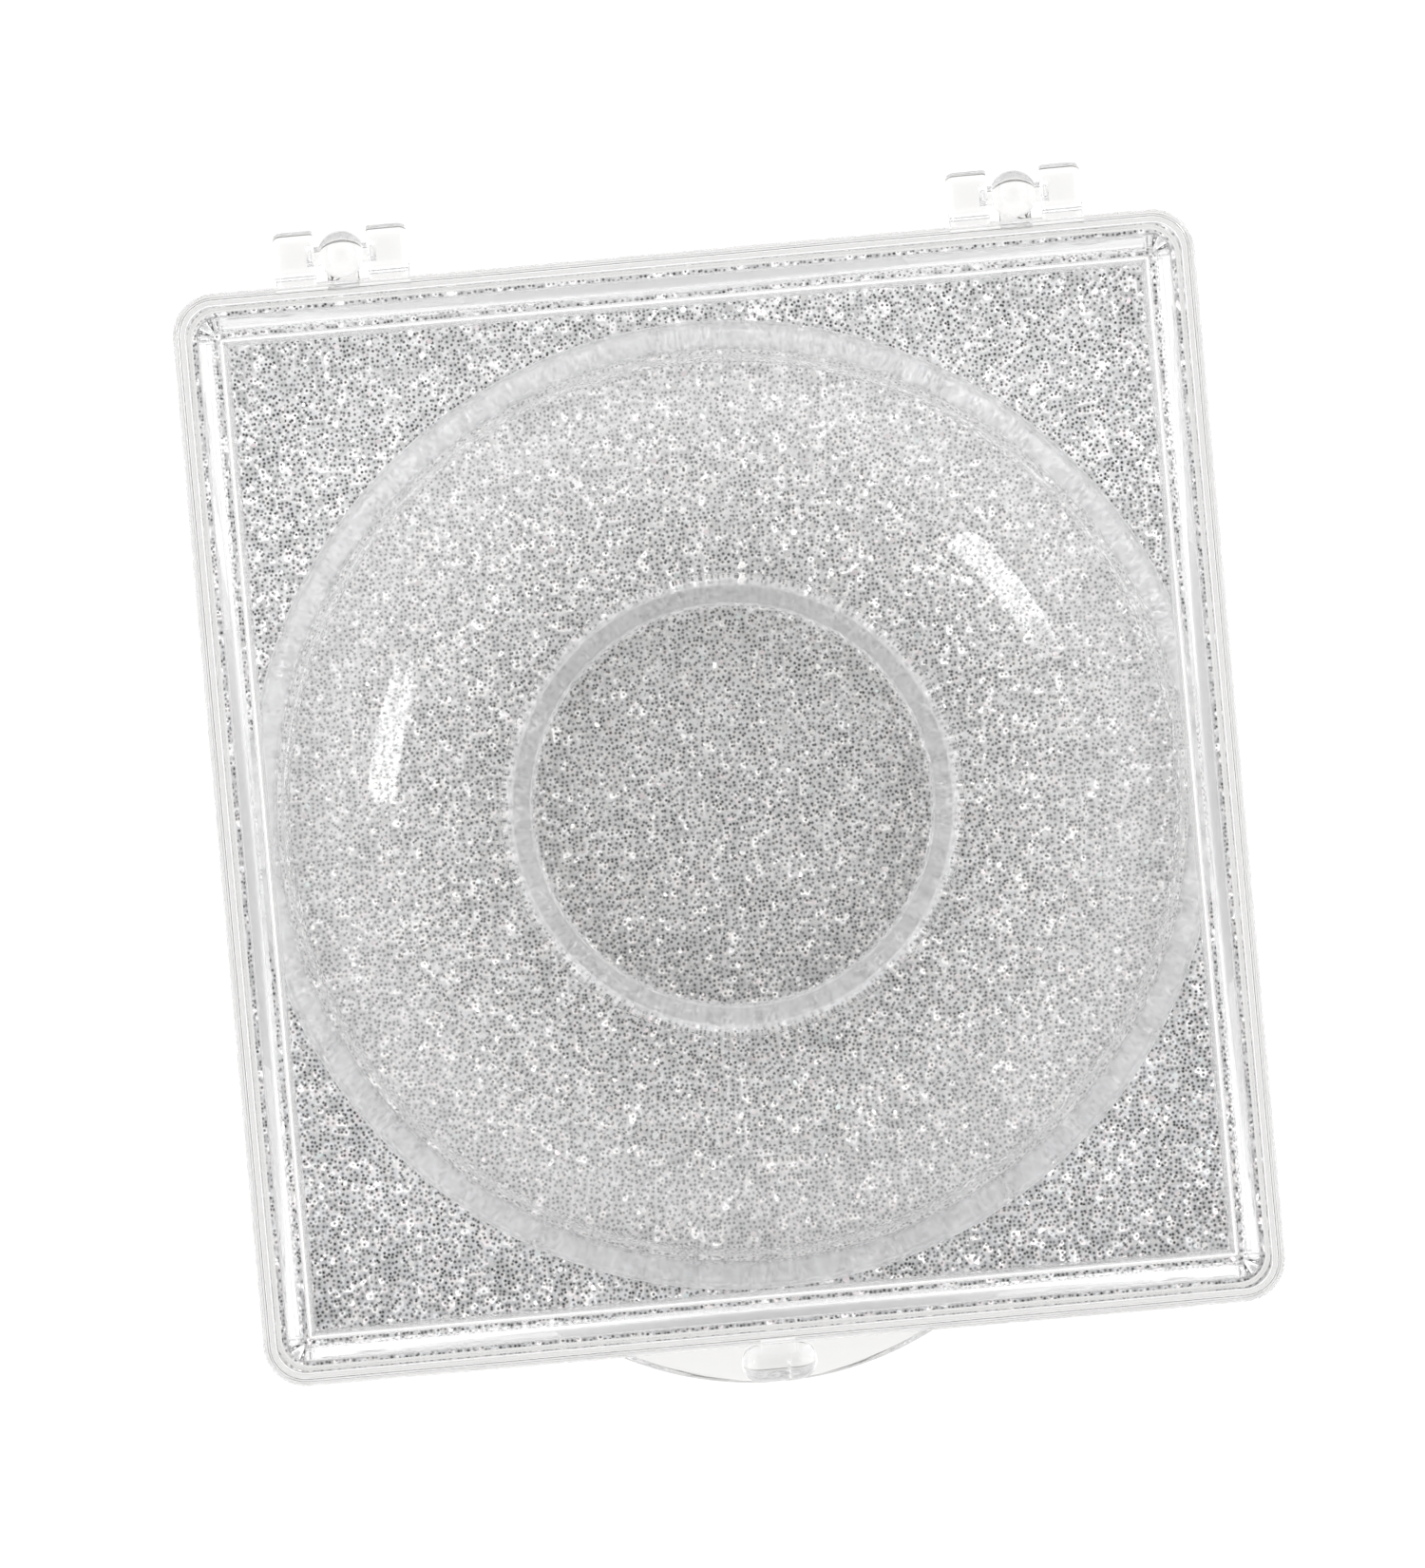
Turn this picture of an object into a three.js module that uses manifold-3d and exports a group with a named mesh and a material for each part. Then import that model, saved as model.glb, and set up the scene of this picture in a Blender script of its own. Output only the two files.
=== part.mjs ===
// A clear hinged case for false eyelashes: a square base and a lid moulded in clear polystyrene,
// a sheet of glitter card on the floor of the base, and a thermoformed round tray lying on the card.
// Millimetres. +Z is up and +Y points to the hinges. The origin is the centre of the base's underside.

import * as THREE from 'three';
import { mergeVertices } from 'three/addons/utils/BufferGeometryUtils.js';
import Module from 'manifold-3d';

// The case: both halves share one outline and meet at half height, so that the open lid lies flat.
const CASE_WIDTH = 58;
const CASE_DEPTH = 62;
const CASE_HEIGHT = 13;
const PARTING_HEIGHT = CASE_HEIGHT / 2;
const CORNER_RADIUS = 2.4;
const WALL = 0.65;
const FLOOR = 1;
const LID_PLATE = 1;

// The lid's locating rib hangs inside the walls and reaches down into the base. Its outer lower
// edge is chamfered, so that it finds its way in as the lid closes.
const RIB_OUTER_INSET = 1.45;
const RIB_INNER_INSET = 2.55;
const RIB_DEPTH_BELOW_PARTING = 1.5;
const RIB_CORNER_RADIUS = 0.6;
const RIB_CHAMFER = 0.75;

// Two hinges at the back. Each is a ball on the base, snapped between two ears on the lid.
const HINGE_SPACING = 38.4;
const HINGE_OUT = 1.75;
const BALL_RADIUS = 1.35;
const EAR_REACH = 1.5;
const EAR_NEAR_REACH = 1.3;
const EAR_CORNER_RADIUS = 0.8;
const EAR_GAP = 3;
const EAR_WIDTH = 2.35;
const LIFT_OVER_PARTING = 0.15;
const STRIP_THICKNESS = 0.25;
const PIVOT_RADIUS = 0.55;
const PIVOT_REACH = 0.4;
const SOCKET_CLEARANCE = 0.08;
const SOCKET_DEPTH = 0.5;
const NECK_WIDTH = 1.8;
const NECK_FOOT_BELOW_PARTING = 4.2;
const NECK_TIP_SHORT_OF_AXIS = 0.75;
const NECK_TIP_TOP_BELOW_PARTING = 0.54;
const NECK_TIP_FOOT_BELOW_PARTING = 1.08;

// The front: a thin thumb tab on the base, and a nub with a groove on the lid above it.
const TAB_CHORD = 18.5;
const TAB_REACH = 2.35;
const TAB_THICKNESS = 1;
const TAB_BELOW_PARTING = 0.2;
const NUB_LENGTH = 4.3;
const NUB_RADIUS = 1.15;
const NUB_FOOT_HEIGHT = 2;
const NUB_GROOVE_WIDTH = 0.25;
const NUB_GROOVE_DEPTH = 0.35;
const NUB_GROOVE_OFFSET = 0.55;

// How far an added feature is sunk into the wall that carries it, and how far a cut runs past a face.
const ROOT = 0.4;
const OVERCUT = 1;

// The glitter card: a paper backing with a thin layer of glitter bonded to its face.
const CARD_GAP = 0.15;
const CARD_CORNER_RADIUS = 1.6;
const BACKING_THICKNESS = 0.375;
const GLITTER_THICKNESS = 0.125;

// The lash tray is a ring-shaped dome, thermoformed with one thickness all over, lying a little off
// centre. Its well is flat, and its dome falls away outwards to a skirt that ends in a flat rim.
const TRAY_OFFSET_X = 0.18;
const TRAY_OFFSET_Y = -0.45;
const TRAY_HEIGHT = 8;
const TRAY_WALL = 0.375;
const WELL_RADIUS = 11.6;
const CREST_RADIUS = 13.2;
const CREST_LIP_RADIUS = 0.7;
const DOME_SECTION_RADIUS = 17.5;
const SKIRT_TOP_RADIUS = 26.1;
const SKIRT_FOOT_RADIUS = 27.3;
const RIM_RADIUS = 27.7;
const TRAY_SEGMENTS = 72;
const DOME_STEPS = 10;
const LIP_STEPS = 4;

const CORNER_SEGMENTS = 6;
const ROUND_SEGMENTS = 24;

const BACK_WALL_Y = CASE_DEPTH / 2;
const FRONT_WALL_Y = -CASE_DEPTH / 2;
const AXIS_Y = BACK_WALL_Y + HINGE_OUT;
const CARD_TOP = FLOOR + BACKING_THICKNESS + GLITTER_THICKNESS;

const wasm = await Module();
wasm.setup();

// --- Between three.js geometry and solids that can be joined and cut ---

function solidFrom(geometry) {
  const bare = geometry.clone();
  bare.deleteAttribute('normal');
  bare.deleteAttribute('uv');
  const merged = mergeVertices(bare, 1e-4);
  return new wasm.Manifold(
    new wasm.Mesh({
      numProp: 3,
      vertProperties: new Float32Array(merged.attributes.position.array),
      triVerts: new Uint32Array(merged.index.array),
    })
  );
}

function geometryFrom(solid) {
  const mesh = solid.getMesh();
  const geometry = new THREE.BufferGeometry();
  geometry.setAttribute('position', new THREE.BufferAttribute(mesh.vertProperties, 3));
  geometry.setIndex(new THREE.BufferAttribute(mesh.triVerts, 1));
  geometry.computeVertexNormals();
  return geometry;
}

function joined(solids) {
  return solids.reduce((sum, solid) => sum.add(solid));
}

// --- Outlines and simple bodies ---

// A rectangle centred on the origin with round corners.
function roundedRectangle(width, depth, radius) {
  const x = width / 2 - radius;
  const y = depth / 2 - radius;
  const outline = new THREE.Shape();
  outline.absarc(x, y, radius, 0, Math.PI / 2, false);
  outline.absarc(-x, y, radius, Math.PI / 2, Math.PI, false);
  outline.absarc(-x, -y, radius, Math.PI, 1.5 * Math.PI, false);
  outline.absarc(x, -y, radius, 1.5 * Math.PI, 2 * Math.PI, false);
  outline.closePath();
  return outline;
}

function slabGeometry(outline, bottom, top) {
  const geometry = new THREE.ExtrudeGeometry(outline, {
    depth: top - bottom,
    bevelEnabled: false,
    curveSegments: CORNER_SEGMENTS,
  });
  geometry.translate(0, 0, bottom);
  return geometry;
}

// The case's outline, moved inwards by an inset, between two heights.
function caseSlab(inset, radius, bottom, top) {
  const outline = roundedRectangle(CASE_WIDTH - 2 * inset, CASE_DEPTH - 2 * inset, radius);
  return solidFrom(slabGeometry(outline, bottom, top));
}

// An outline drawn as (Y, Z), extruded along X between two places.
function profileAlongX(outline, fromX, toX) {
  const geometry = new THREE.ExtrudeGeometry(outline, {
    depth: toX - fromX,
    bevelEnabled: false,
    curveSegments: ROUND_SEGMENTS,
  });
  const turn = new THREE.Matrix4().set(0, 0, 1, fromX, 1, 0, 0, 0, 0, 1, 0, 0, 0, 0, 0, 1);
  geometry.applyMatrix4(turn);
  return solidFrom(geometry);
}

// A round bar on the hinge axis between two places along X.
function barOnAxis(radius, fromX, toX) {
  const geometry = new THREE.CylinderGeometry(radius, radius, toX - fromX, ROUND_SEGMENTS);
  geometry.rotateZ(Math.PI / 2);
  geometry.translate((fromX + toX) / 2, AXIS_Y, PARTING_HEIGHT);
  return solidFrom(geometry);
}

// --- Hinge ---

// A gusset that carries the ball: it rises from the base's back wall and stays under the parting.
function neckOutline() {
  const foot = PARTING_HEIGHT - NECK_FOOT_BELOW_PARTING;
  const top = PARTING_HEIGHT - NECK_TIP_TOP_BELOW_PARTING;
  const outline = new THREE.Shape();
  outline.moveTo(BACK_WALL_Y - ROOT, foot);
  outline.lineTo(BACK_WALL_Y, foot);
  outline.lineTo(AXIS_Y - NECK_TIP_SHORT_OF_AXIS, PARTING_HEIGHT - NECK_TIP_FOOT_BELOW_PARTING);
  outline.lineTo(AXIS_Y - NECK_TIP_SHORT_OF_AXIS, top);
  outline.lineTo(BACK_WALL_Y - ROOT, top);
  outline.closePath();
  return outline;
}

function ballKnuckle(centreX) {
  const ball = new THREE.SphereGeometry(BALL_RADIUS, ROUND_SEGMENTS, ROUND_SEGMENTS / 2);
  ball.rotateZ(Math.PI / 2);
  ball.translate(centreX, AXIS_Y, PARTING_HEIGHT);
  const pivotEnd = EAR_GAP / 2 + PIVOT_REACH;
  const pivots = barOnAxis(PIVOT_RADIUS, centreX - pivotEnd, centreX + pivotEnd);
  const neck = profileAlongX(neckOutline(), centreX - NECK_WIDTH / 2, centreX + NECK_WIDTH / 2);
  return joined([solidFrom(ball), pivots, neck]);
}

// An ear's side: a lug with round corners about the hinge axis, rooted in the lid's back wall. Its top
// is flat, and between the wall and the lug it stays clear above the parting.
function earOutline() {
  const low = PARTING_HEIGHT - EAR_NEAR_REACH;
  const high = PARTING_HEIGHT + EAR_REACH;
  const near = AXIS_Y - EAR_NEAR_REACH;
  const far = AXIS_Y + EAR_REACH;
  const corner = EAR_CORNER_RADIUS;
  const outline = new THREE.Shape();
  outline.moveTo(BACK_WALL_Y - ROOT, PARTING_HEIGHT + LIFT_OVER_PARTING);
  outline.lineTo(near, PARTING_HEIGHT + LIFT_OVER_PARTING);
  outline.absarc(near + corner, low + corner, corner, Math.PI, 1.5 * Math.PI, false);
  outline.absarc(far - corner, low + corner, corner, 1.5 * Math.PI, 2 * Math.PI, false);
  outline.absarc(far - corner, high - corner, corner, 0, Math.PI / 2, false);
  outline.lineTo(BACK_WALL_Y - ROOT, high);
  outline.closePath();
  return outline;
}

// The strip on the lid's back wall that runs from ear to ear behind the ball.
function stripOutline() {
  const outline = new THREE.Shape();
  outline.moveTo(BACK_WALL_Y - ROOT, PARTING_HEIGHT + LIFT_OVER_PARTING);
  outline.lineTo(BACK_WALL_Y + STRIP_THICKNESS, PARTING_HEIGHT + LIFT_OVER_PARTING);
  outline.lineTo(BACK_WALL_Y + STRIP_THICKNESS, PARTING_HEIGHT + EAR_REACH);
  outline.lineTo(BACK_WALL_Y - ROOT, PARTING_HEIGHT + EAR_REACH);
  outline.closePath();
  return outline;
}

function earPair(centreX) {
  const inner = EAR_GAP / 2;
  const outer = inner + EAR_WIDTH;
  const parts = [profileAlongX(stripOutline(), centreX - outer, centreX + outer)];
  for (const side of [-1, 1]) {
    const near = Math.min(centreX + side * inner, centreX + side * outer);
    const far = near + EAR_WIDTH;
    parts.push(profileAlongX(earOutline(), near, far));
  }
  const socketEnd = inner + SOCKET_DEPTH;
  const sockets = barOnAxis(PIVOT_RADIUS + SOCKET_CLEARANCE, centreX - socketEnd, centreX + socketEnd);
  return joined(parts).subtract(sockets);
}

// --- Front ---

// The tab's outline is a segment of a circle, sunk a little into the wall along its chord.
function thumbTab() {
  const radius = (TAB_CHORD ** 2 / 4 + TAB_REACH ** 2) / (2 * TAB_REACH);
  const centreY = FRONT_WALL_Y - TAB_REACH + radius;
  const halfAngle = Math.asin(TAB_CHORD / 2 / radius);
  const outline = new THREE.Shape();
  outline.absarc(0, centreY, radius, -Math.PI / 2 - halfAngle, -Math.PI / 2 + halfAngle, false);
  outline.lineTo(TAB_CHORD / 2, FRONT_WALL_Y + ROOT);
  outline.lineTo(-TAB_CHORD / 2, FRONT_WALL_Y + ROOT);
  outline.closePath();
  const top = PARTING_HEIGHT - TAB_BELOW_PARTING;
  const geometry = new THREE.ExtrudeGeometry(outline, {
    depth: TAB_THICKNESS,
    bevelEnabled: false,
    curveSegments: ROUND_SEGMENTS,
  });
  geometry.translate(0, 0, top - TAB_THICKNESS);
  return solidFrom(geometry);
}

// A pill lying along X on the lid's front wall, with a groove round it.
function frontNub() {
  const centreZ = PARTING_HEIGHT + LIFT_OVER_PARTING + NUB_RADIUS;
  const centreY = FRONT_WALL_Y - NUB_RADIUS;
  const halfBar = NUB_LENGTH / 2 - NUB_RADIUS;
  const bar = new THREE.CapsuleGeometry(NUB_RADIUS, 2 * halfBar, ROUND_SEGMENTS / 4, ROUND_SEGMENTS);
  bar.rotateZ(Math.PI / 2);
  bar.translate(0, centreY, centreZ);
  const foot = new THREE.BoxGeometry(2 * halfBar, NUB_RADIUS + ROOT, NUB_FOOT_HEIGHT);
  foot.translate(0, centreY + (NUB_RADIUS + ROOT) / 2, centreZ);
  const cutDepth = NUB_GROOVE_DEPTH + OVERCUT;
  const cutter = new THREE.BoxGeometry(NUB_GROOVE_WIDTH, cutDepth, 2 * NUB_RADIUS + OVERCUT);
  cutter.translate(NUB_GROOVE_OFFSET, centreY - NUB_RADIUS + NUB_GROOVE_DEPTH - cutDepth / 2, centreZ);
  return joined([solidFrom(bar), solidFrom(foot)]).subtract(solidFrom(cutter));
}

// --- Tray ---

// The tray's upper surface from the well to the foot of the skirt, moved inwards by an offset.
// The offset is 0 for the upper face and the wall's thickness for the underside.
function traySection(offset) {
  const floor = TRAY_WALL - offset;
  const crest = TRAY_HEIGHT - offset;
  const lip = CREST_LIP_RADIUS - offset / 2;
  const wellWall = WELL_RADIUS + offset;
  const lipCentre = new THREE.Vector2(CREST_RADIUS, crest - lip);
  const points = [new THREE.Vector2(wellWall, floor)];
  for (let i = 0; i < LIP_STEPS; i++) {
    const angle = Math.PI - (i / LIP_STEPS) * (Math.PI / 2);
    points.push(
      new THREE.Vector2(lipCentre.x + lip * Math.cos(angle), lipCentre.y + lip * Math.sin(angle))
    );
  }
  const sectionRadius = DOME_SECTION_RADIUS - offset;
  const edge = SKIRT_TOP_RADIUS - offset;
  for (let i = 0; i <= DOME_STEPS; i++) {
    const out = ((edge - CREST_RADIUS) * i) / DOME_STEPS;
    const drop = sectionRadius - Math.sqrt(sectionRadius ** 2 - out ** 2);
    points.push(new THREE.Vector2(CREST_RADIUS + out, crest - drop));
  }
  return points;
}

function lashTray() {
  const upper = traySection(0);
  const under = traySection(TRAY_WALL);
  const profile = [
    new THREE.Vector2(0, 0),
    new THREE.Vector2(WELL_RADIUS + TRAY_WALL, 0),
    ...under.slice(1),
    new THREE.Vector2(SKIRT_FOOT_RADIUS - TRAY_WALL, 0),
    new THREE.Vector2(RIM_RADIUS, 0),
    new THREE.Vector2(RIM_RADIUS, TRAY_WALL),
    new THREE.Vector2(SKIRT_FOOT_RADIUS, TRAY_WALL),
    ...upper.reverse(),
    new THREE.Vector2(0, TRAY_WALL),
  ];
  const geometry = new THREE.LatheGeometry(profile, TRAY_SEGMENTS);
  geometry.rotateX(Math.PI / 2);
  return geometry;
}

// --- The pieces ---

function caseBase() {
  const shell = caseSlab(0, CORNER_RADIUS, 0, PARTING_HEIGHT).subtract(
    caseSlab(WALL, CORNER_RADIUS - WALL, FLOOR, PARTING_HEIGHT + OVERCUT)
  );
  const knuckles = [-HINGE_SPACING / 2, HINGE_SPACING / 2].map(ballKnuckle);
  return geometryFrom(joined([shell, thumbTab(), ...knuckles]));
}

// A square ring below the lid's plate, sunk into it at the top and chamfered outside at the bottom.
function locatingRib(plateUnderside) {
  const bottom = PARTING_HEIGHT - RIB_DEPTH_BELOW_PARTING;
  const chamferTop = bottom + RIB_CHAMFER;
  const rootTop = plateUnderside + ROOT;
  const straight = caseSlab(RIB_OUTER_INSET, RIB_CORNER_RADIUS, chamferTop, rootTop);
  const tip = caseSlab(RIB_OUTER_INSET + RIB_CHAMFER, RIB_CORNER_RADIUS, bottom, chamferTop);
  const inside = caseSlab(RIB_INNER_INSET, RIB_CORNER_RADIUS, bottom - OVERCUT, plateUnderside);
  return wasm.Manifold.hull([straight, tip]).subtract(inside);
}

function caseLid() {
  const plateUnderside = CASE_HEIGHT - LID_PLATE;
  const shell = caseSlab(0, CORNER_RADIUS, PARTING_HEIGHT, CASE_HEIGHT).subtract(
    caseSlab(WALL, CORNER_RADIUS - WALL, PARTING_HEIGHT - OVERCUT, plateUnderside)
  );
  const ears = [-HINGE_SPACING / 2, HINGE_SPACING / 2].map(earPair);
  return geometryFrom(joined([shell, locatingRib(plateUnderside), frontNub(), ...ears]));
}

// A sheet of the card's outline between two heights.
function cardSheet(bottom, top) {
  const inset = WALL + CARD_GAP;
  const outline = roundedRectangle(
    CASE_WIDTH - 2 * inset,
    CASE_DEPTH - 2 * inset,
    CARD_CORNER_RADIUS
  );
  return slabGeometry(outline, bottom, top);
}

function named(name, geometry, material) {
  const mesh = new THREE.Mesh(geometry, new THREE.MeshStandardMaterial(material));
  mesh.name = name;
  return mesh;
}

const clearCase = { color: 0xf2f4f6, roughness: 0.05, metalness: 0, transparent: true, opacity: 0.3 };
const clearTray = { color: 0xeef1f3, roughness: 0.1, metalness: 0, transparent: true, opacity: 0.25 };

const lashCase = new THREE.Group();

lashCase.add(named('case_base', caseBase(), clearCase));
lashCase.add(named('case_lid', caseLid(), clearCase));

const backingTop = FLOOR + BACKING_THICKNESS;
lashCase.add(
  named('card_backing', cardSheet(FLOOR, backingTop), { color: 0xf4f3ef, roughness: 0.9, metalness: 0 })
);
lashCase.add(
  named('glitter_face', cardSheet(backingTop, CARD_TOP), { color: 0xc4c5c8, roughness: 0.35, metalness: 0.8 })
);

const tray = named('lash_tray', lashTray(), clearTray);
tray.position.set(TRAY_OFFSET_X, TRAY_OFFSET_Y, CARD_TOP);
lashCase.add(tray);

export default lashCase;
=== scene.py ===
import math

import bmesh
import bpy
import numpy as np
from mathutils import Matrix, Vector


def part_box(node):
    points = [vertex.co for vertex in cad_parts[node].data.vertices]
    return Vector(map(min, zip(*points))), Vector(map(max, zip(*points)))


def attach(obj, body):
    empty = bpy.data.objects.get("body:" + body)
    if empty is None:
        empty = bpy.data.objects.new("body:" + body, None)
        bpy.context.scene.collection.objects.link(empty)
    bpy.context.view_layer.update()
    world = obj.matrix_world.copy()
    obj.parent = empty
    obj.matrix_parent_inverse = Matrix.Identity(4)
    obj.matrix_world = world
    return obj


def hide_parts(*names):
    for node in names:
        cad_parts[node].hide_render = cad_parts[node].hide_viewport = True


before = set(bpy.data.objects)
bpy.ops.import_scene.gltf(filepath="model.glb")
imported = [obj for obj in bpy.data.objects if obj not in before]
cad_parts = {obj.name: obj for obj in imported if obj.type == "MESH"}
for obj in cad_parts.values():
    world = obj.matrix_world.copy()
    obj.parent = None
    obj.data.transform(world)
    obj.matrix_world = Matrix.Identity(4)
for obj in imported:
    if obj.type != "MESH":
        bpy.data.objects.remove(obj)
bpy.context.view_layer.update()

MM = 0.001
studio = bpy.context.scene

# ---------------------------------------------------------------------------------------------
# The view. A long lens looks straight down on the closed lid from about a metre, turned five
# degrees against the case, so that the case lies a little askew and its walls don't show.
# ---------------------------------------------------------------------------------------------

lens_distance = 1000 * MM
view_height = 88.6 * MM
sensor = 36.0
view_turn = math.radians(-5.14)
view_right = Vector((math.cos(view_turn), math.sin(view_turn), 0))
view_up = Vector((-math.sin(view_turn), math.cos(view_turn), 0))

card_low, card_high = (Vector(corner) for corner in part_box("card_backing"))
lid_low, lid_high = (Vector(corner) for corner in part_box("case_lid"))
case_centre = (card_low + card_high) / 2
view_spot = Vector((case_centre.x, case_centre.y, lid_high.z))
view_spot += view_right * -0.93 * MM + view_up * 0.77 * MM

lens = bpy.data.cameras.new("camera")
lens.sensor_width = sensor
lens.lens = sensor * lens_distance / view_height
lens.clip_start = 0.05
lens.clip_end = 20
camera = bpy.data.objects.new("camera", lens)
camera.location = view_spot + Vector((0, 0, lens_distance))
camera.rotation_euler = (0, 0, view_turn)
studio.collection.objects.link(camera)
studio.camera = camera

# ---------------------------------------------------------------------------------------------
# The base: one moulding in clear polystyrene. A floor and four walls, open at the top, with two
# ball knuckles on necks at the back for the hinges and a thin thumb tab at the front.
# ---------------------------------------------------------------------------------------------

card_to_outside = 0.8
case_width = (card_high.x - card_low.x) / MM + 2 * card_to_outside
case_depth = (card_high.y - card_low.y) / MM + 2 * card_to_outside
case_top = lid_high.z / MM
parting = case_top / 2
case_corner = 2.4
sharpest_corner = 0.2
corner_steps = 10

wall = 0.65
floor_thickness = 1.0
back_wall = case_depth / 2
front_wall = -case_depth / 2
hinge_places = (-19.2, 19.2)
hinge_y = back_wall + 1.75
ball_radius = 1.35
pivot_radius = 0.55
ear_gap = 3.0
pivot_reach = 0.4
root = 0.4
seam = 0.03
short_flat = 0.01


class Wire:
    """An output in a node tree. Shader maths is written with it as Python expressions."""

    def __init__(self, tree, socket=None):
        self.tree = tree
        self.socket = socket

    def node(self, kind, settings=None, sockets=None, out=0):
        """Adds a node: its settings come first, then its sockets' values or links."""
        made = self.tree.nodes.new(kind)
        for name, value in (settings or {}).items():
            if name == "stops":
                ramp = made.color_ramp.elements
                while len(ramp) < len(value):
                    ramp.new(0.5)
                for stop, (place, colour) in zip(ramp, value):
                    stop.position = place
                    stop.color = colour
            else:
                setattr(made, name, value)
        for name, value in (sockets or {}).items():
            if isinstance(value, Wire):
                self.tree.links.new(value.socket, made.inputs[name])
            else:
                made.inputs[name].default_value = value
        return Wire(self.tree, made.outputs[out] if len(made.outputs) else None)

    def math(self, operation, *values):
        return self.node("ShaderNodeMath", {"operation": operation}, dict(enumerate(values)))

    def vector(self, operation, *values):
        return self.node("ShaderNodeVectorMath", {"operation": operation}, dict(enumerate(values)))

    def ramp(self, start, end, top=1.0):
        """Rises smoothly from nothing at the start to the top value at the end."""
        return self.node(
            "ShaderNodeMapRange",
            {"interpolation_type": "SMOOTHSTEP"},
            {"Value": self, "From Min": start, "From Max": end, "To Min": 0.0, "To Max": top},
        )

    def part(self, name):
        """One part of a vector, by the name of its axis."""
        return self.node("ShaderNodeSeparateXYZ", {}, {"Vector": self}, name)

    def channel(self, name):
        """One part of a colour, by the name of its channel."""
        return self.node("ShaderNodeSeparateColor", {}, {"Color": self}, name)

    def __add__(self, other):
        return self.math("ADD", self, other)

    def __radd__(self, other):
        return self.math("ADD", other, self)

    def __sub__(self, other):
        return self.math("SUBTRACT", self, other)

    def __rsub__(self, other):
        return self.math("SUBTRACT", other, self)

    def __mul__(self, other):
        return self.math("MULTIPLY", self, other)

    def __rmul__(self, other):
        return self.math("MULTIPLY", other, self)

    def __truediv__(self, other):
        return self.math("DIVIDE", self, other)


def new_material(name):
    """A bare material and the wire that its nodes are made with."""
    material = bpy.data.materials.new(name)
    material.use_nodes = True
    material.node_tree.nodes.clear()
    return material, Wire(material.node_tree)


def clear_plastic(name, tint, ior, haze, ripple, cloud=None):
    """Clear plastic: sharp gloss and a faint flow ripple, and where a cloud is given, milky patches.

    Shadows and light from matt or glittering things pass it as if it were a thin tinted window.
    """
    material, shade = new_material(name)
    place = shade.node("ShaderNodeTexCoord", out="Object")
    flow = shade.node("ShaderNodeTexNoise", {}, {"Vector": place, "Scale": 180.0, "Detail": 2.0})
    surface = shade.node(
        "ShaderNodeBump", {}, {"Height": flow, "Strength": ripple, "Distance": 0.2 * MM}
    )
    plastic = shade.node(
        "ShaderNodeBsdfPrincipled",
        {},
        {
            "Base Color": tint,
            "Roughness": 0.0,
            "IOR": ior,
            "Transmission Weight": 1.0 - haze,
            "Normal": surface,
        },
    )
    grazing = shade.node("ShaderNodeLayerWeight", {}, {"Blend": 0.5}, "Facing")
    through = 1.0 - grazing * grazing * 0.3
    let_through = shade.node(
        "ShaderNodeVectorMath", {"operation": "SCALE"}, {0: tint[:3], "Scale": through}
    )
    thin = shade.node("ShaderNodeBsdfTransparent", {}, {"Color": let_through})
    seen = {
        kind: shade.node("ShaderNodeLightPath", out="Is " + kind + " Ray")
        for kind in ("Shadow", "Diffuse", "Glossy", "Singular")
    }
    body = plastic
    if cloud:
        milky = shade.node(
            "ShaderNodeBsdfPrincipled", {}, {"Base Color": (0.95, 0.95, 0.96, 1), "Roughness": 0.5}
        )
        body = shade.node(
            "ShaderNodeMixShader", {}, {0: cloud(shade, place), 1: plastic, 2: milky}
        )
    sharp = shade.node("ShaderNodeMixShader", {}, {0: seen["Singular"], 1: thin, 2: body})
    look = shade.node("ShaderNodeMixShader", {}, {0: seen["Glossy"], 1: body, 2: sharp})
    look = shade.node("ShaderNodeMixShader", {}, {0: seen["Diffuse"], 1: look, 2: thin})
    look = shade.node("ShaderNodeMixShader", {}, {0: seen["Shadow"], 1: look, 2: thin})
    shade.node("ShaderNodeOutputMaterial", {}, {"Surface": look})
    return material


def piece_from(name, mesh):
    made = bpy.data.objects.new(name, mesh)
    studio.collection.objects.link(made)
    return made


def piece_from_loops(name, loops):
    """A closed skin over a stack of loops with equally many points, capped at both ends."""
    count = len(loops[0])
    points = [Vector(point) * MM for loop in loops for point in loop]
    faces = [list(range(count))[::-1]]
    for level in range(len(loops) - 1):
        low = level * count
        for i in range(count):
            j = (i + 1) % count
            faces.append((low + i, low + j, low + count + j, low + count + i))
    faces.append([len(points) - count + i for i in range(count)])
    mesh = bpy.data.meshes.new(name)
    mesh.from_pydata(points, [], faces)
    mesh.validate()
    return piece_from(name, mesh)


def case_loop(inset, height):
    """The case's outline, moved inwards, at one height."""
    radius = max(case_corner - inset, sharpest_corner)
    x = case_width / 2 - inset - radius
    y = case_depth / 2 - inset - radius
    points = []
    for quarter, (centre_x, centre_y) in enumerate(((x, y), (-x, y), (-x, -y), (x, -y))):
        for step in range(corner_steps + 1):
            angle = (quarter + step / corner_steps) * math.pi / 2
            points.append(
                (centre_x + radius * math.cos(angle), centre_y + radius * math.sin(angle), height)
            )
    return points


def bend(centre, radius, start, end, steps=6):
    """A round edge of the section, which is drawn as (inset, height), with a short flat each side."""
    points = []
    for step in range(steps + 1):
        angle = math.radians(start + (end - start) * step / steps)
        points.append((centre[0] + radius * math.cos(angle), centre[1] + radius * math.sin(angle)))
    way = math.copysign(short_flat, end - start)
    first, last = math.radians(start), math.radians(end)
    before = (points[0][0] + way * math.sin(first), points[0][1] - way * math.cos(first))
    after = (points[-1][0] - way * math.sin(last), points[-1][1] + way * math.cos(last))
    return [before] + points + [after]


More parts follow.
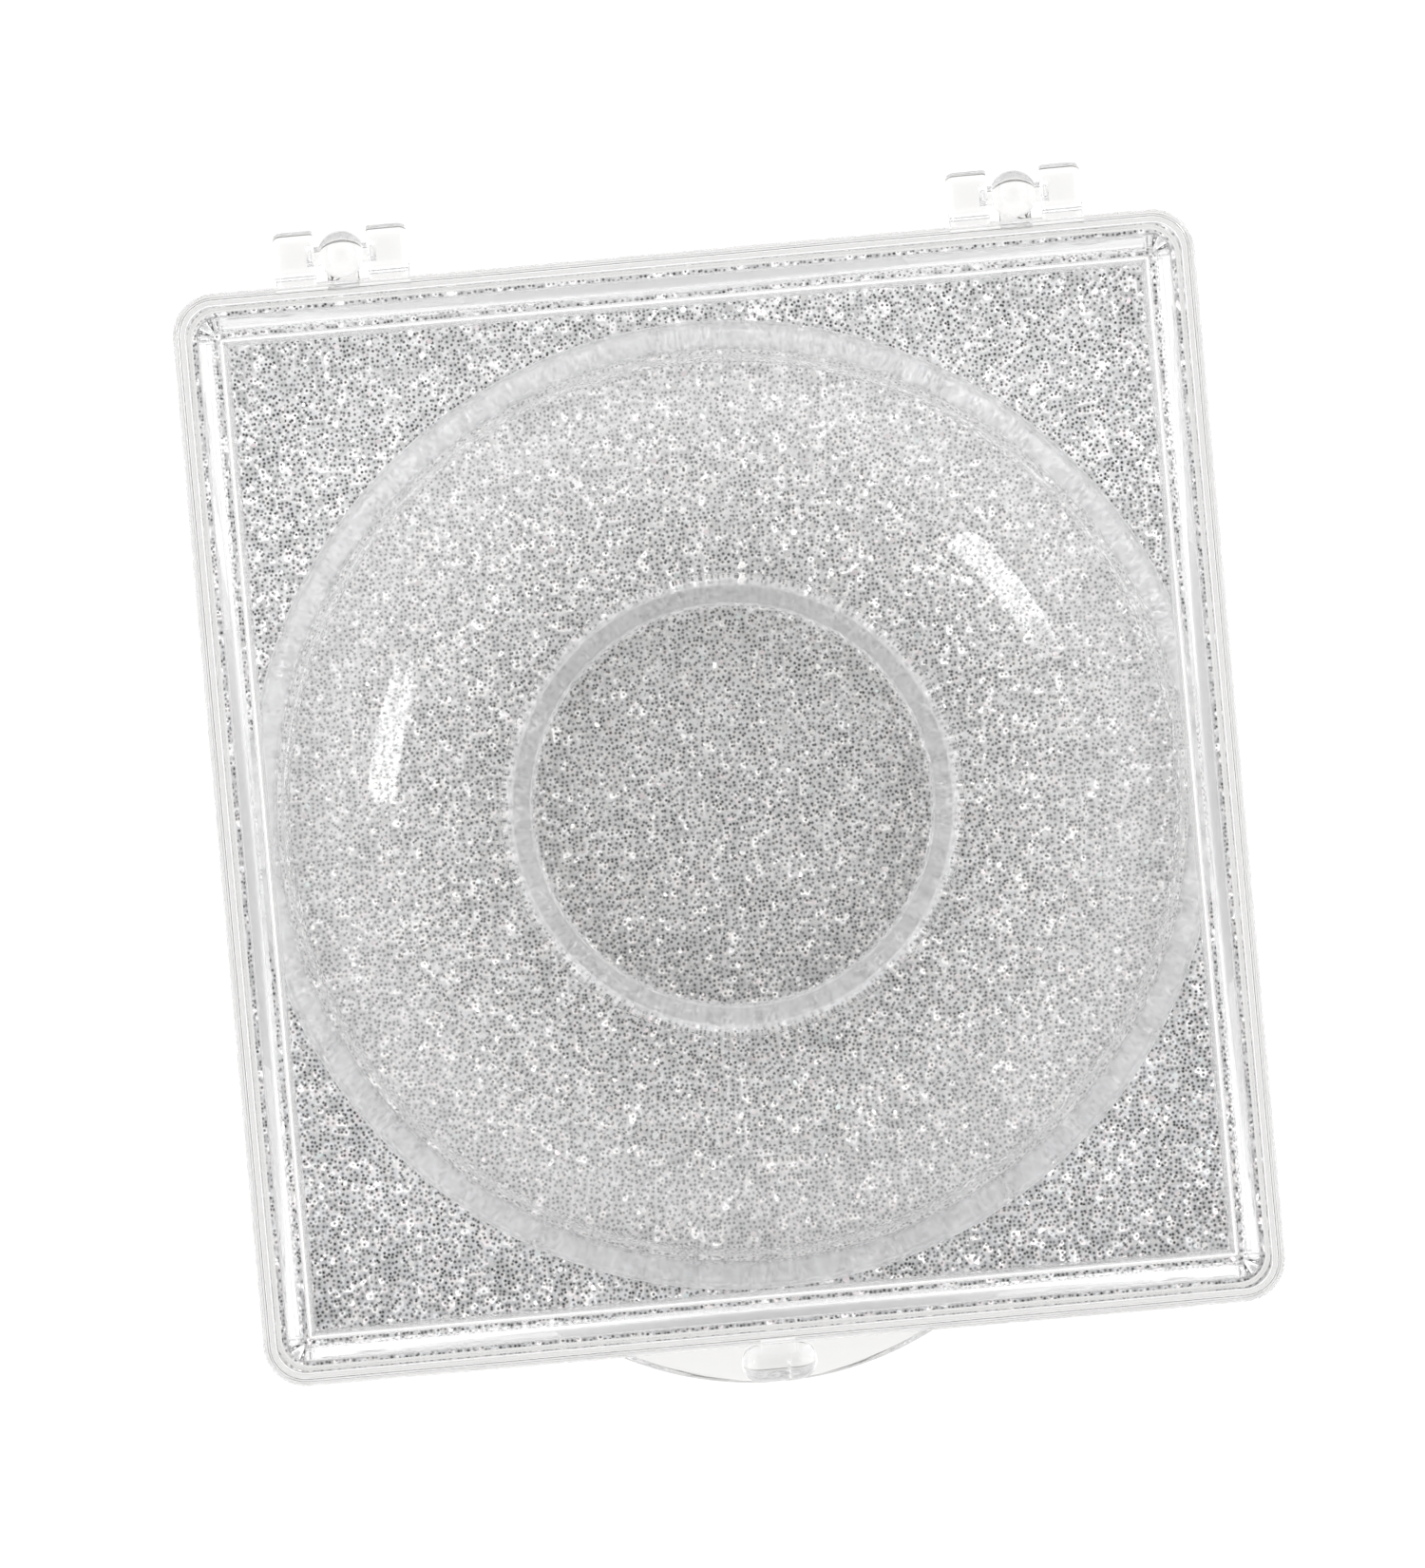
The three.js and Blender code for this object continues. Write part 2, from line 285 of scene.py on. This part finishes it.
def piece_from_section(name, section):
    """A moulding whose section runs round the case's outline."""
    return piece_from_loops(name, [case_loop(inset, height) for inset, height in section])


def revolved(name, section, origin, axis, steps=64):
    """A section of (radius, place along the axis), which starts and ends on the axis, turned round it."""
    turn = Vector((0, 0, 1)).rotation_difference(Vector(axis)).to_matrix()
    loops = []
    for radius, along in section:
        loop = []
        for step in range(steps):
            angle = 2 * math.pi * step / steps
            spot = Vector((radius * math.cos(angle), radius * math.sin(angle), along))
            loop.append(Vector(origin) + turn @ spot)
        loops.append(loop)
    return piece_from_loops(name, loops)


def bar_along_x(name, outline, from_x, to_x, edge_radius):
    """An outline of (Y, Z) stretched along X, with its two end edges rounded."""
    mesh = bpy.data.meshes.new(name)
    shape = bmesh.new()
    near = [shape.verts.new(Vector((from_x, y, z)) * MM) for y, z in outline]
    face = shape.faces.new(near)
    grown = bmesh.ops.extrude_face_region(shape, geom=[face])
    far = [item for item in grown["geom"] if isinstance(item, bmesh.types.BMVert)]
    bmesh.ops.translate(shape, verts=far, vec=Vector((to_x - from_x, 0, 0)) * MM)
    bmesh.ops.recalc_face_normals(shape, faces=shape.faces)
    ends = [
        edge
        for edge in shape.edges
        if abs(edge.verts[0].co.x - edge.verts[1].co.x) < 1e-7
    ]
    if edge_radius:
        bmesh.ops.bevel(
            shape, geom=ends, offset=edge_radius * MM, segments=4, profile=0.5, affect="EDGES"
        )
    shape.to_mesh(mesh)
    shape.free()
    return piece_from(name, mesh)


def boolean(piece, other, operation):
    """Joins another closed piece to this one, or cuts it away, and removes the other."""
    step = piece.modifiers.new(operation, "BOOLEAN")
    step.operation = operation
    step.solver = "EXACT"
    step.object = other
    bpy.context.view_layer.update()
    shaped = piece.evaluated_get(bpy.context.evaluated_depsgraph_get())
    mesh = bpy.data.meshes.new_from_object(shaped)
    piece.modifiers.remove(step)
    piece.data = mesh
    bpy.data.objects.remove(other)


def finished(piece, material, sharp_over=32):
    """Gives a piece its material, and smooth faces that stay sharp over real edges."""
    mesh = piece.data
    mesh.materials.clear()
    mesh.materials.append(material)
    mesh.shade_smooth()
    mesh.set_sharp_from_angle(angle=math.radians(sharp_over))
    return piece


def arc_points(centre, radius, start, end, steps):
    return [
        (
            centre[0] + radius * math.cos(math.radians(start + (end - start) * step / steps)),
            centre[1] + radius * math.sin(math.radians(start + (end - start) * step / steps)),
        )
        for step in range(steps + 1)
    ]


def base_section():
    """The base's section, from the middle of its underside out, up the wall, and back in."""
    foot = 0.45
    lip = 0.08
    cove = 0.12
    section = bend((foot, foot), foot, 270, 180)
    section += bend((lip, parting - seam - lip), lip, 180, 90, 3)
    section += bend((wall - lip, parting - seam - lip), lip, 90, 0, 3)
    section += bend((wall + cove, floor_thickness + cove), cove, 180, 270, 4)
    return section


def ball_section():
    """A ball with a round pivot standing out of each side, as (radius, place along X)."""
    reach = ear_gap / 2 + pivot_reach
    end_round = 0.15
    start = math.degrees(math.asin(pivot_radius / ball_radius))
    half = [(1e-3, -reach)]
    half += [
        (pivot_radius - end_round + end_round * math.sin(a), -reach + end_round - end_round * math.cos(a))
        for a in (math.radians(angle) for angle in range(0, 91, 30))
    ]
    half += [
        (ball_radius * math.sin(math.radians(a)), -ball_radius * math.cos(math.radians(a)))
        for a in np.linspace(start, 90, 15)
    ]
    return half + [(radius, -along) for radius, along in reversed(half[:-1])]


def add_knuckle(piece, x):
    """A ball on the hinge line, with its pivots."""
    origin = (x, hinge_y, parting)
    ball = revolved("ball", ball_section(), origin, (1, 0, 0), 48)
    boolean(piece, ball, "UNION")


def add_neck(piece, x):
    """The gusset between the wall and the ball, which stays below the parting."""
    low = parting - 0.8 * ball_radius
    high = parting - 0.4 * ball_radius
    tip = hinge_y - 0.75
    outline = [
        (back_wall - root, parting - 4.2),
        (back_wall + 0.1, parting - 4.2),
        (tip, low),
        (tip, high),
        (back_wall - root, high),
    ]
    neck = bar_along_x("neck", outline, x - 0.9, x + 0.9, 0.2)
    boolean(piece, neck, "UNION")


def add_thumb_tab(piece):
    """A segment of a disc that stands out of the front wall just under the parting."""
    chord, reach, thickness = 18.5, 2.35, 1.0
    radius = (chord**2 / 4 + reach**2) / (2 * reach)
    top = parting - 0.2
    centre_y = front_wall - reach + radius
    half_angle = math.degrees(math.asin(chord / 2 / radius))
    loops = []
    edge = bend((0.25, top - 0.25), 0.25, 90, 180, 4)
    under = bend((0.3, top - thickness + 0.12), 0.12, 180, 270, 3)
    for inset, height in edge + under:
        arc = arc_points((0, centre_y), radius - inset, -90 - half_angle, -90 + half_angle, 48)
        inner = [(chord / 2, front_wall + root), (-chord / 2, front_wall + root)]
        loops.append([(x, y, height) for x, y in arc + inner])
    loops = loops[::-1]
    tab = piece_from_loops("tab", loops)
    boolean(piece, tab, "UNION")


polystyrene = clear_plastic("clear_polystyrene", (0.93, 0.93, 0.932, 1), 1.59, 0.012, 0.02)

base = piece_from_section("clear_base", base_section())
add_thumb_tab(base)
for hinge_x in hinge_places:
    add_neck(base, hinge_x)
    add_knuckle(base, hinge_x)
finished(base, polystyrene)
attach(base, "base")
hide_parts("case_base")

# ---------------------------------------------------------------------------------------------
# The card's backing: a sheet of white board cut with round corners, lying loose on the base's
# floor. Its underside shows through the clear base.
# ---------------------------------------------------------------------------------------------


def sheet_loops(low, high, bottom, top, radius, edge):
    """A flat sheet with round corners and slightly rounded edges."""
    loops = []
    for inset, height in ((edge, bottom), (0, bottom + edge), (0, top - edge), (edge, top)):
        points = []
        x = (high.x - low.x) / MM / 2 - radius
        y = (high.y - low.y) / MM / 2 - radius
        for quarter, (cx, cy) in enumerate(((x, y), (-x, y), (-x, -y), (x, -y))):
            for step in range(9):
                angle = (quarter + step / 8) * math.pi / 2
                reach = radius - inset
                points.append((cx + reach * math.cos(angle), cy + reach * math.sin(angle), height))
        loops.append(points)
    return loops


def white_board():
    """Uncoated white board: soft mottling and short pulp fibres."""
    material, shade = new_material("white_board")
    place = shade.node("ShaderNodeTexCoord", out="Object")
    mottle = shade.node("ShaderNodeTexNoise", {}, {"Vector": place, "Scale": 400.0, "Detail": 5.0})
    stretched = shade.node("ShaderNodeMapping", {}, {"Vector": place, "Scale": (900, 6000, 900)})
    fibres = shade.node("ShaderNodeTexNoise", {}, {"Vector": stretched, "Scale": 1.0, "Detail": 3.0})
    colour = shade.node(
        "ShaderNodeValToRGB",
        {"stops": [(0.35, (0.80, 0.79, 0.76, 1)), (0.65, (0.90, 0.89, 0.87, 1))]},
        {"Fac": mottle * 0.6 + fibres * 0.4},
    )
    relief = shade.node(
        "ShaderNodeBump", {}, {"Height": fibres, "Strength": 0.3, "Distance": 0.02 * MM}
    )
    board = shade.node(
        "ShaderNodeBsdfPrincipled",
        {},
        {"Base Color": colour, "Roughness": 0.85 + mottle * 0.1, "Normal": relief},
    )
    shade.node("ShaderNodeOutputMaterial", {}, {"Surface": board})
    return material


card_corner = 1.6
backing = piece_from_loops(
    "card_board",
    sheet_loops(card_low, card_high, card_low.z / MM, card_high.z / MM, card_corner, 0.03),
)
finished(backing, white_board(), 60)
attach(backing, "base")
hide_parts("card_backing")

# ---------------------------------------------------------------------------------------------
# The glitter: hexagons of silvered film a quarter of a millimetre across, bonded to the board
# edge to edge. Each lies at its own small tilt, so each catches a different part of the room.
# Glints, bright rims and light that grows towards the back are also painted into the colour.
# ---------------------------------------------------------------------------------------------

glitter_low, glitter_high = (Vector(corner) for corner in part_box("glitter_face"))
flake_size = 0.27 * MM
# Painted light: the sheet's colour grows brighter from the front to the back of the case, by this share
# for each metre.
painted_light_per_metre = 5.4


def silver_glitter():
    """Packed flakes: each has its own tilt, tint and brightness, a dull middle and a painted highlight at
    its edge; steep flakes carry painted glints, and painted light grows towards the back.
    """
    material, shade = new_material("silver_glitter")
    place = shade.node("ShaderNodeTexCoord", out="Object")
    flat = shade.vector("MULTIPLY", place, (1, 1, 0))
    cells = {"Vector": flat, "Scale": 1 / flake_size, "Randomness": 0.85}
    shape = {"voronoi_dimensions": "2D", "feature": "F1"}
    middle = shade.node("ShaderNodeTexVoronoi", shape, cells, "Distance")
    luck = shade.node("ShaderNodeTexVoronoi", shape, cells, "Color")
    luck_a = luck.channel("Red")
    luck_b = luck.channel("Green")
    luck_c = luck.channel("Blue")
    lump = shade.node("ShaderNodeTexNoise", {}, {"Vector": flat, "Scale": 600.0, "Detail": 3.0}, "Color")
    lump_x = lump.channel("Red") - 0.5
    lump_y = lump.channel("Green") - 0.5
    lump_z = lump.channel("Blue") - 0.5
    # Painted highlight: each flake is dull in its middle and bright at its edge, a rim of caught light
    # painted into the colour.
    edge = middle.ramp(0.08, 0.5)
    lean = (luck_a - 0.5) * (luck_a - 0.5) + (luck_b - 0.5) * (luck_b - 0.5)
    # Painted glint: the most steeply tilted flakes are given a brighter colour, as though they caught the
    # lamps.
    painted_glint = shade.node("ShaderNodeMapRange", {}, {"Value": lean, "From Min": 0.34, "From Max": 0.42})
    dull = 0.02 + luck_c * 0.34 + lump_z * 0.8 + painted_glint * 0.5
    bright = 0.9 + luck_a * 0.22 + lump_z * 0.5 + painted_glint * 0.3
    # Painted light: the tone grows brighter towards the back of the case.
    tone = (dull * (1.0 - edge) + bright * edge) * (1.0 + place.part("Y") * painted_light_per_metre)
    tint = shade.node(
        "ShaderNodeValToRGB",
        {
            "stops": [
                (0.0, (0.97, 0.98, 1.0, 1)),
                (0.7, (1.0, 1.0, 1.0, 1)),
                (0.9, (1.0, 0.97, 0.95, 1)),
                (1.0, (1.0, 0.93, 0.94, 1)),
            ]
        },
        {"Fac": luck_b},
    )
    colour = shade.node("ShaderNodeVectorMath", {"operation": "SCALE"}, {0: tint, "Scale": tone})
    steep = 0.35 + lean * 1.2
    tilt_x = (luck_a - 0.5) * steep + lump_x * 0.3
    tilt_y = (luck_b - 0.5) * steep + lump_y * 0.3
    leaning = shade.node("ShaderNodeCombineXYZ", {}, {"X": tilt_x, "Y": tilt_y, "Z": 1.0})
    facing = shade.node(
        "ShaderNodeVectorTransform",
        {"vector_type": "NORMAL", "convert_from": "OBJECT", "convert_to": "WORLD"},
        {"Vector": leaning},
    )
    foil = shade.node(
        "ShaderNodeBsdfPrincipled",
        {},
        {
            "Base Color": colour,
            "Metallic": 1.0,
            "Roughness": 0.34 + luck_b * 0.1,
            "Normal": facing,
        },
    )
    shade.node("ShaderNodeOutputMaterial", {}, {"Surface": foil})
    return material


glitter = piece_from_loops(
    "glitter_sheet",
    sheet_loops(
        glitter_low, glitter_high, glitter_low.z / MM, glitter_high.z / MM, card_corner, 0.02
    ),
)
finished(glitter, silver_glitter(), 60)
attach(glitter, "base")
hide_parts("glitter_face")


flake_count = 1500
flake_margin = 0.5 * MM
flake_above_sheet = 0.03 * MM


def loose_flakes():
    """Larger flakes lying proud of the bed, as thin hexagons at odd tilts."""
    draw = np.random.default_rng(7)
    half_x = (glitter_high.x - glitter_low.x) / 2 - flake_margin
    half_y = (glitter_high.y - glitter_low.y) / 2 - flake_margin
    lift = glitter_high.z + flake_above_sheet
    points = []
    faces = []
    for _ in range(flake_count):
        centre = Vector((draw.uniform(-half_x, half_x), draw.uniform(-half_y, half_y), 0))
        size = draw.uniform(0.09, 0.2) * MM
        lean = Matrix.Rotation(math.radians(draw.uniform(4, 26)), 3, "X")
        turn = Matrix.Rotation(draw.uniform(0, 2 * math.pi), 3, "Z")
        spin = draw.uniform(0, math.pi)
        first = len(points)
        for corner in range(6):
            angle = spin + corner * math.pi / 3
            spot = turn @ (lean @ Vector((size * math.cos(angle), size * math.sin(angle), 0)))
            points.append(centre + spot + Vector((0, 0, lift)))
        faces.append([first + corner for corner in range(6)])
    mesh = bpy.data.meshes.new("loose_flakes")
    mesh.from_pydata(points, [], faces)
    return piece_from("loose_flakes", mesh)


def bright_flake():
    """Silvered film, mostly white, with a few pink and green flakes."""
    material, shade = new_material("bright_flake")
    luck = shade.node("ShaderNodeNewGeometry", out="Random Per Island")
    colour = shade.node(
        "ShaderNodeValToRGB",
        {
            "stops": [
                (0.0, (0.95, 0.95, 0.95, 1)),
                (0.7, (0.97, 0.96, 0.93, 1)),
                (0.85, (0.97, 0.86, 0.88, 1)),
                (1.0, (0.84, 0.95, 0.93, 1)),
            ]
        },
        {"Fac": luck},
    )
    foil = shade.node(
        "ShaderNodeBsdfPrincipled",
        {},
        {"Base Color": colour, "Metallic": 0.9, "Roughness": 0.3 + luck * 0.15},
    )
    shade.node("ShaderNodeOutputMaterial", {}, {"Surface": foil})
    return material


flakes = loose_flakes()
flakes.data.materials.append(bright_flake())
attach(flakes, "base")

# ---------------------------------------------------------------------------------------------
# The lash tray: thin clear PET drawn over a mould in one piece. A flat well in the middle, a
# ring-shaped dome that falls away outwards, and a skirt with a flat rim that rests on the card.
# ---------------------------------------------------------------------------------------------

tray_low, tray_high = (Vector(corner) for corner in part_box("lash_tray"))
tray_centre = (tray_low + tray_high) / 2 / MM
tray_bottom = tray_low.z / MM + 0.02
tray_height = (tray_high.z - tray_low.z) / MM
rim_radius = (tray_high.x - tray_low.x) / 2 / MM
film = 0.375
well_radius = 11.6
crest_radius = 13.2
dome_section = 17.5
crease_radius = 19.7
skirt_top = 26.1
skirt_foot = 27.3


def tray_face(offset):
    """The tray's upper face, or its underside when the offset is the film's thickness."""
    floor_cove = 0.35
    lip = 0.75 - offset * 0.6
    shoulder = 0.5 - offset * 0.6
    foot_cove = 0.25
    top = tray_height - offset
    low = film - offset
    face = []
    well = well_radius + offset
    face += bend((well - floor_cove, low + floor_cove), floor_cove, -90, -8, 5)
    face += bend((crest_radius - offset * 0.3, top - lip), lip, 174, 90, 8)
    for step in range(1, 33):
        out = (skirt_top - shoulder - crest_radius) * step / 32
        section = dome_section - offset
        drop = section - math.sqrt(section**2 - out**2)
        crease = 0.05 * math.exp(-(((crest_radius + out - crease_radius) / 0.22) ** 2))
        face.append((crest_radius + out, top - drop - crease))
    last_r, last_z = face[-1]
    slope = math.degrees(math.asin((last_r - crest_radius) / (dome_section - offset)))
    centre = (
        last_r - shoulder * math.sin(math.radians(slope)),
        last_z - shoulder * math.cos(math.radians(slope)),
    )
    face += bend(centre, shoulder, 90 - slope, 14, 5)[1:]
    face += bend((skirt_foot - offset + foot_cove, low + foot_cove), foot_cove, 194, 270, 4)
    return face


def tray_section():
    """The film's whole section, from the well's middle over the dome to the rim and back below."""
    upper = tray_face(0)
    under = tray_face(film)
    rim_round, rim_cut = 0.1, 0.06
    rim = bend((rim_radius - rim_round, film - rim_round), rim_round, 90, 0, 3)
    rim += [(rim_radius, rim_cut), (rim_radius - rim_cut, 0)]
    return [(1e-3, film)] + upper + rim + under[::-1] + [(1e-3, 0)]


def stretch_cloud(shade, place):
    """Milky streaks, which run outwards, on the well's wall, the outer dome and the skirt."""
    well_wall = 12.1 * MM
    centre = tuple(tray_centre * MM)
    here = shade.vector("MULTIPLY", shade.vector("SUBTRACT", place, centre), (1, 1, 0))
    reach = shade.node("ShaderNodeVectorMath", {"operation": "LENGTH"}, {0: here}, "Value")
    outer = reach.ramp(17.5 * MM, 24 * MM, 0.1)
    ring = shade.math("ABSOLUTE", reach - well_wall).ramp(1.0 * MM, 0.3 * MM, 0.42)
    skirt = reach.ramp(25.8 * MM, 26.4 * MM, 0.25)
    around = shade.math("ARCTAN2", here.part("Y"), here.part("X"))
    spokes = shade.node("ShaderNodeCombineXYZ", {}, {"X": around * 12.0, "Y": reach * 200.0})
    streak = shade.node("ShaderNodeTexNoise", {}, {"Vector": spokes, "Scale": 1.5, "Detail": 3.0})
    return (outer + ring + skirt) * (0.1 + streak * 1.7)


tray = revolved(
    "clear_lash_tray",
    tray_section()[::-1],
    (tray_centre.x, tray_centre.y, tray_bottom),
    (0, 0, 1),
    192,
)
pet = clear_plastic("clear_pet_film", (0.94, 0.939, 0.936, 1), 1.575, 0.012, 0.06, stretch_cloud)
finished(tray, pet, 50)
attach(tray, "base")
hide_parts("lash_tray")

# ---------------------------------------------------------------------------------------------
# The lid: the second polystyrene moulding. A plate and four walls, a locating rib inside them
# that reaches into the base, two pairs of hinge ears at the back and a grooved nub at the front.
# ---------------------------------------------------------------------------------------------

lid_plate = 1.0
ear_width = 2.35
lift = 0.15
rib_bottom = parting - 1.5
lead_in = 0.75
lead_in_rise = 0.67
lead_in_bulge = 0.03


def lead_in_height(share):
    """The height of the rib's bulging lead-in, at a share of the way from its outer edge to its tip."""
    straight = rib_bottom + lead_in_rise * (1 - share)
    return straight - lead_in_bulge * math.sin(math.pi * share)


def lid_section():
    """The lid's section, from the middle of its top out, down the wall, round the rib, and back in."""
    brow = 0.5
    lip = 0.08
    groove = 0.12
    ceiling = case_top - lid_plate
    rib_outer, rib_inner = 1.45, 2.55
    tip = 0.1
    inner_cove = 0.55
    section = bend((brow, case_top - brow), brow, 90, 180, 10)
    section += bend((lip, parting + seam + lip), lip, 180, 270, 3)
    section += bend((wall - lip, parting + seam + lip), lip, 270, 360, 3)
    section += bend((wall + groove, ceiling - groove), groove, 180, 90, 4)
    section += bend((rib_outer - groove, ceiling - groove), groove, 90, 0, 4)
    section += [(rib_outer, rib_bottom + lead_in_rise + 0.02)]
    section += [(rib_outer + lead_in * step / 8, lead_in_height(step / 8)) for step in range(9)]
    section += bend((rib_inner - tip, rib_bottom + tip), tip, 270, 360, 3)
    section += bend((rib_inner + inner_cove, ceiling - inner_cove), inner_cove, 180, 90, 10)
    return section[::-1]


def ear_loop(x, inset):
    """The ear's outline at one place along X: a lug with round corners that is rooted in the wall."""
    low, high, near, far = -1.3, 1.5, -1.3, 1.5
    corner = 0.8
    turn = corner - inset
    outline = [(back_wall - root - hinge_y, lift + inset), (near + inset, lift + inset)]
    outline += arc_points((near + corner, low + corner), turn, 180, 270, 8)
    outline += arc_points((far - corner, low + corner), turn, 270, 360, 8)
    outline += arc_points((far - corner, high - corner), turn, 0, 90, 8)
    outline += [(back_wall - root - hinge_y, high - inset)]
    return [(x, hinge_y + y, parting + z) for y, z in outline]


def ear(x_from, x_to, edge_from, edge_to):
    """A lug along X with a rounded edge at each end."""
    angles = [math.radians(15 * step) for step in range(7)]
    turns = [(math.cos(angle), math.sin(angle)) for angle in angles]
    loops = [ear_loop(x_from + edge_from * (1 - c), edge_from * (1 - s)) for c, s in turns]
    loops += [ear_loop(x_to - edge_to * (1 - c), edge_to * (1 - s)) for c, s in reversed(turns)]
    return piece_from_loops("ear", loops)


def add_ears(piece, x):
    """Two ears, the strip that joins them along the wall, and the blind sockets for the pivots."""
    outer_edge, inner_edge = 0.5, 0.2
    inner = ear_gap / 2
    outer = inner + ear_width
    boolean(piece, ear(x - outer, x - inner, outer_edge, inner_edge), "UNION")
    boolean(piece, ear(x + inner, x + outer, inner_edge, outer_edge), "UNION")
    strip_outline = [
        (back_wall - root, parting + lift),
        (back_wall + 0.25, parting + lift),
        (back_wall + 0.25, parting + 1.3),
        (back_wall - root, parting + 1.45),
    ]
    strip = bar_along_x("strip", strip_outline, x - outer + 0.05, x + outer - 0.05, 0)
    boolean(piece, strip, "UNION")
    reach = inner + 0.5
    socket_radius = pivot_radius + 0.08
    section = [(1e-3, -reach), (socket_radius, -reach), (socket_radius, reach), (1e-3, reach)]
    socket = revolved("socket", section, (x, hinge_y, parting), (1, 0, 0), 32)
    boolean(piece, socket, "DIFFERENCE")


def add_nub(piece):
    """A pill with a groove round it, lying along the front wall above the tab."""
    radius, half = 1.15, 2.15
    groove_x, groove_half, groove_depth = 0.55, 0.125, 0.35
    straight = half - radius
    section = [(1e-3, -half)]
    section += [
        (radius * math.sin(math.radians(a)), -straight - radius * math.cos(math.radians(a)))
        for a in range(8, 91, 8)
    ]
    section += [
        (radius, groove_x - groove_half),
        (radius - groove_depth * 0.7, groove_x - groove_half * 0.45),
        (radius - groove_depth, groove_x),
        (radius - groove_depth * 0.7, groove_x + groove_half * 0.45),
        (radius, groove_x + groove_half),
    ]
    section += [
        (radius * math.sin(math.radians(a)), straight + radius * math.cos(math.radians(a)))
        for a in range(88, 7, -8)
    ]
    section += [(1e-3, half)]
    centre_z = parting + lift + radius
    pill = revolved("pill", section, (0, front_wall - radius, centre_z), (1, 0, 0), 48)
    y = front_wall - radius
    root_outline = [
        (y, centre_z - radius * 0.9),
        (front_wall + root, centre_z - radius * 0.9),
        (front_wall + root, centre_z + radius * 0.9),
        (y, centre_z + radius * 0.9),
    ]
    foot = bar_along_x("nub_foot", root_outline, -straight, straight, 0.1)
    boolean(piece, foot, "UNION")
    boolean(piece, pill, "UNION")


lid = piece_from_section("clear_lid", lid_section())
for hinge_x in hinge_places:
    add_ears(lid, hinge_x)
add_nub(lid)
finished(lid, polystyrene)
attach(lid, "lid")
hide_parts("case_lid")

# ---------------------------------------------------------------------------------------------
# The studio: a white table lit from inside, a soft surround that is darker overhead and in front,
# and two soft boxes halfway up, one on the left and one at the back right.
# ---------------------------------------------------------------------------------------------


def white_table():
    """A pale translucent table that is lit from inside, with a fine grain."""
    material, shade = new_material("white_table")
    place = shade.node("ShaderNodeTexCoord", out="Object")
    grain = shade.node("ShaderNodeTexNoise", {}, {"Vector": place, "Scale": 40.0, "Detail": 2.0})
    top = shade.node(
        "ShaderNodeBsdfPrincipled",
        {},
        {
            "Base Color": (0.1, 0.1, 0.1, 1),
            "Roughness": 0.6 + grain * 0.1,
            "Emission Color": (1.0, 0.995, 0.98, 1),
            "Emission Strength": 0.93,
        },
    )
    shade.node("ShaderNodeOutputMaterial", {}, {"Surface": top})
    return material


def table_top():
    """The table, a hair below the case so that the two don't touch."""
    mesh = bpy.data.meshes.new("table")
    half = 1.5
    mesh.from_pydata(
        [(-half, -half, 0), (half, -half, 0), (half, half, 0), (-half, half, 0)], [], [(0, 1, 2, 3)]
    )
    table = piece_from("table", mesh)
    table.data.materials.append(white_table())
    table.location.z = -0.02 * MM
    return table


def lit_cloth(name, radiance):
    """A soft box's cloth: brightest along its lower edge and fading towards the top and the sides."""
    material, shade = new_material(name)
    place = shade.node("ShaderNodeTexCoord", out="Generated")
    side = place.part("X").ramp(0.0, 0.75)
    top = place.part("Y").ramp(1.0, 0.2)
    strength = (0.06 + side * top) * radiance
    glow = shade.node("ShaderNodeEmission", {}, {"Color": (1, 1, 1, 1), "Strength": strength})
    shade.node("ShaderNodeOutputMaterial", {}, {"Surface": glow})
    return material


def soft_box(name, azimuth, elevation, width, height, radiance, flip=1):
    """A glowing rectangle that faces the case; azimuth counts from +X towards +Y."""
    distance = 0.9
    across = math.radians(azimuth)
    up = math.radians(elevation)
    place = Vector((math.cos(across) * math.cos(up), math.sin(across) * math.cos(up), math.sin(up)))
    mesh = bpy.data.meshes.new(name)
    x, y = flip * width / 2, height / 2
    mesh.from_pydata([(-x, -y, 0), (x, -y, 0), (x, y, 0), (-x, y, 0)], [], [(0, 1, 2, 3)])
    box = piece_from(name, mesh)
    mesh.materials.append(lit_cloth(name, radiance))
    box.location = place * distance
    box.rotation_euler = place.to_track_quat("Z", "Y").to_euler()
    return box


def surround():
    """The room's light by direction: brightest low down, darker overhead, at the horizon and in front."""
    world = bpy.data.worlds.new("surround")
    studio.world = world
    world.use_nodes = True
    world.node_tree.nodes.clear()
    shade = Wire(world.node_tree)
    direction = shade.node("ShaderNodeTexCoord", out="Generated")
    up = direction.part("Z")
    back = direction.part("Y")
    overhead = up.ramp(0.82, 0.97)
    low = up.ramp(0.65, 0.25)
    straight_up = up.ramp(0.97, 0.995)
    horizon = up.ramp(0.42, 0.15)
    strength = 1.36 - overhead * 0.7 - straight_up * 0.35 + low * 0.8 - horizon * 0.7
    strength = strength * (1.0 + back * 0.15)
    glow = shade.node("ShaderNodeBackground", {}, {"Color": (1, 1, 1, 1), "Strength": strength})
    shade.node("ShaderNodeOutputWorld", {}, {"Surface": glow})


table = table_top()
surround()
soft_box("left_box", 161, 44, 0.31, 0.2, 16, -1)
soft_box("back_right_box", 31, 44, 0.31, 0.2, 16)

studio.view_settings.view_transform = "Standard"
studio.view_settings.look = "None"
studio.cycles.max_bounces = 24
studio.cycles.transmission_bounces = 24
studio.cycles.transparent_max_bounces = 32
studio.cycles.glossy_bounces = 16
studio.cycles.diffuse_bounces = 3
studio.cycles.sample_clamp_indirect = 6
